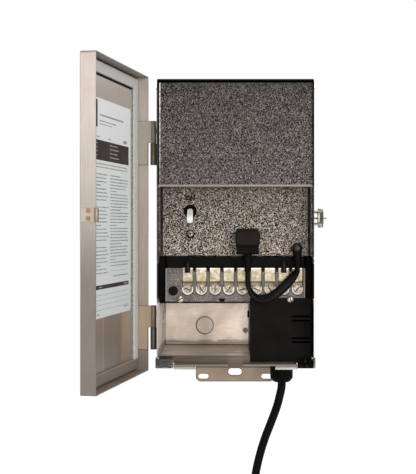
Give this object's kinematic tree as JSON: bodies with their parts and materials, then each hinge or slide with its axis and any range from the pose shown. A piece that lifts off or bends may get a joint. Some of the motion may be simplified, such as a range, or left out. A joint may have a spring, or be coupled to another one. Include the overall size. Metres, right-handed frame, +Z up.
{
  "type": "low voltage landscape transformer",
  "caption": "Wall-hung stainless box with a toroidal low voltage transformer, tapped terminals, breaker, hinged door with a draw latch, and a mains cord",
  "frame": {"origin": "on the wall face, midway between the two outer slots of the lower mounting tab", "axes": "+X to the right of someone facing the open box, +Y back into the wall, +Z up the wall"},
  "size_m": [0.2701, 0.3156, 0.6787],
  "materials": {
    "stainless": "brushed",
    "plated_steel": "satin",
    "door_stainless": "brushed",
    "hammertone_cover": "hammered enamel",
    "hammertone_panel": "hammered enamel",
    "black_paint": "satin",
    "black_plastic": "moulded",
    "phenolic": "moulded",
    "strip_plastic": "moulded",
    "white_plastic": "moulded",
    "clamp_brass": "plated",
    "blade_brass": "satin",
    "cord_rubber": "smooth",
    "lead_rubber": "smooth",
    "core_steel": "oiled strip",
    "winding": "taped",
    "pad_rubber": "smooth",
    "gasket_foam": "foam",
    "label_paper": "matte film"
  },
  "bodies": {
    "box": {"enclosure_shell": "stainless", "top_panel": "stainless", "floor_panel": "stainless", "upper_mount_tab": "stainless", "lower_mount_tab": "stainless", "tab_rivets": "plated_steel", "transformer_cover": "hammertone_cover", "control_panel": "hammertone_panel", "panel_screw": "plated_steel", "breaker_body": "phenolic", "breaker_nut": "black_plastic", "receptacle": "black_plastic", "cord_bushing": "black_plastic", "terminal_bracket": "black_paint", "terminal_base": "phenolic", "terminal_plate": "strip_plastic", "terminal_clamps": "clamp_brass", "terminal_screws": "plated_steel", "plate_screws": "plated_steel", "hole_plug": "black_plastic", "tap_leads": "lead_rubber", "toroid_core": "core_steel", "toroid_winding": "winding", "toroid_pads": "pad_rubber", "toroid_washer": "plated_steel", "toroid_stud": "plated_steel", "toroid_nut": "plated_steel", "compartment_cover": "black_paint", "cover_grommet": "black_plastic", "ground_screws": "plated_steel", "gland_body": "black_plastic", "gland_nut": "black_plastic", "gland_locknut": "black_plastic", "primary_leads": "lead_rubber", "power_cord": "cord_rubber", "cord_coil": "cord_rubber", "coil_tie": "black_plastic", "plug_tail": "cord_rubber", "power_plug": "cord_rubber", "power_blades": "blade_brass", "jumper_cord": "lead_rubber", "jumper_plug": "black_plastic", "jumper_blades": "blade_brass", "box_hinge_leaves": "plated_steel", "hinge_pins": "plated_steel", "hinge_rivets": "plated_steel", "latch_base": "plated_steel", "latch_rivets": "plated_steel", "latch_pin": "plated_steel"},
    "door": {"door_pan": "door_stainless", "door_gasket": "gasket_foam", "instruction_label": "label_paper", "door_hinge_leaves": "plated_steel", "keeper": "plated_steel", "keeper_rivets": "plated_steel"},
    "lever": {"latch_lever": "plated_steel"},
    "bail": {"latch_bail": "plated_steel"},
    "toggle": {"toggle_lever": "white_plastic"}
  },
  "joints": [
    {"name": "door_hinge", "type": "hinge", "parent": "box", "child": "door", "pos_m": [-0.097, -0.122, 0.2934], "axis": [0, 0, -1], "range_deg": [-101.35, 78.65]},
    {"name": "latch_lever", "type": "hinge", "parent": "box", "child": "lever", "pos_m": [0.0995, -0.111, 0.2048], "axis": [0, 0, -1], "range_deg": [0, 140]},
    {"name": "latch_bail", "type": "hinge", "parent": "lever", "child": "bail", "pos_m": [0.1005, -0.101, 0.2048], "axis": [0, 0, 1], "range_deg": [-30, 0]},
    {"name": "breaker_toggle", "type": "hinge", "parent": "box", "child": "toggle", "pos_m": [-0.0536, -0.1179, 0.2129], "axis": [-1, 0, 0], "range_deg": [0, 76]}
  ]
}
